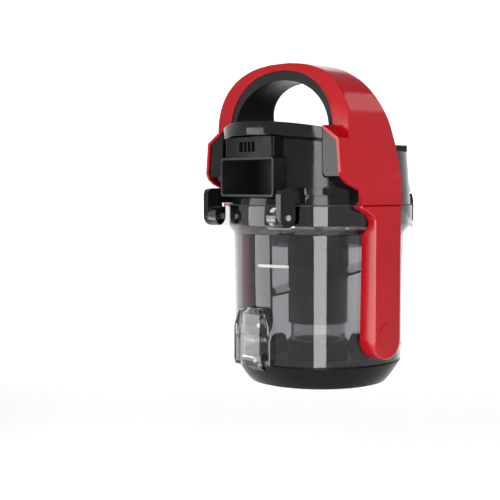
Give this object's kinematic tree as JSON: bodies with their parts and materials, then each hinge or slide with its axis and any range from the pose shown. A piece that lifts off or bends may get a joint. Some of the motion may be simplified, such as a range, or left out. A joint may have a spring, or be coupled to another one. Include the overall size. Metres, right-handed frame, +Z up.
{
  "type": "handheld vacuum dust container",
  "caption": "Clear cyclonic dust container with a hinged bottom lid, a press-to-open latch, a lift-off head with an inlet port, and an arched carrying handle on red side straps.",
  "frame": {"origin": "on the bin's axis, in the plane of the closed bottom lid's underside, at the mouth of the outlet bore", "axes": "+Z up along the bin's axis, -Y towards the inlet port and the release latch, +Y towards the lid's hinge, +X to the right strap"},
  "size_m": [0.1798, 0.1888, 0.282],
  "materials": {
    "clear_plastic": "clear, slightly smoky polycarbonate",
    "smoky_plastic": "smoky translucent plastic",
    "red_plastic": "deep glossy red moulded plastic",
    "black_gloss": "glossy black moulded plastic",
    "grey_plastic": "satin dark grey plastic",
    "seal_rubber": "soft black seal",
    "steel": "plain steel pin and wire",
    "mesh_steel": "fine perforated sheet",
    "white_mark": "white printed line",
    "filter_media": "pleated white filter paper"
  },
  "bodies": {
    "bin": {"bin_shell": "clear_plastic", "bin_rim": "clear_plastic", "rim_seal": "seal_rubber", "hinge_eyes": "clear_plastic", "lid_lugs": "clear_plastic", "latch_ears": "clear_plastic", "hook_ledge": "clear_plastic", "fill_line": "white_mark", "strap_right": "red_plastic", "strap_left": "red_plastic", "strap_rails": "black_gloss", "strap_caps": "red_plastic", "hinge_pins": "steel", "latch_pin": "steel", "latch_spring": "steel", "lid_pin": "steel"},
    "lid": {"lid_base": "black_gloss", "lid_floor": "grey_plastic", "lid_seal": "seal_rubber", "outlet_seal": "seal_rubber"},
    "latch": {"release_latch": "clear_plastic"},
    "head": {"head_housing": "black_gloss", "head_top_plate": "black_gloss", "head_seal": "seal_rubber", "inlet_duct": "black_gloss", "port_hood": "black_gloss", "handle_shell": "red_plastic", "handle_liner": "black_gloss", "wing_box_right": "black_gloss", "wing_box_left": "black_gloss", "rear_cover": "black_gloss", "rear_latch_pin": "steel", "cyclone_shroud": "grey_plastic", "shroud_mesh": "mesh_steel", "guide_vane": "smoky_plastic", "cyclone_skirt": "smoky_plastic", "outlet_pipe": "clear_plastic", "cyclone_deck": "grey_plastic", "deck_posts": "grey_plastic", "filter_frame": "grey_plastic", "filter_gasket": "seal_rubber", "filter_pleats": "filter_media"},
    "rear_hook": {"rear_latch": "black_gloss"}
  },
  "joints": [
    {"name": "lid_hinge", "type": "hinge", "parent": "bin", "child": "lid", "pos_m": [0, 0.083, 0.027], "axis": [1, 0, 0], "range_deg": [0, 95]},
    {"name": "release_press", "type": "hinge", "parent": "bin", "child": "latch", "pos_m": [0, -0.0805, 0.045], "axis": [-1, 0, 0], "range_deg": [0, 8], "stiffness_Nm_per_rad": 0.4, "springref_deg": -5.73},
    {"name": "head_hinge", "type": "hinge", "parent": "bin", "child": "head", "pos_m": [0, -0.0855, 0.1495], "axis": [1, 0, 0], "range_deg": [0, 60]},
    {"name": "rear_hook_pull", "type": "hinge", "parent": "head", "child": "rear_hook", "pos_m": [0, 0.0905, 0.165], "axis": [1, 0, 0], "range_deg": [0, 25], "stiffness_Nm_per_rad": 0.3, "springref_deg": -5.73}
  ]
}
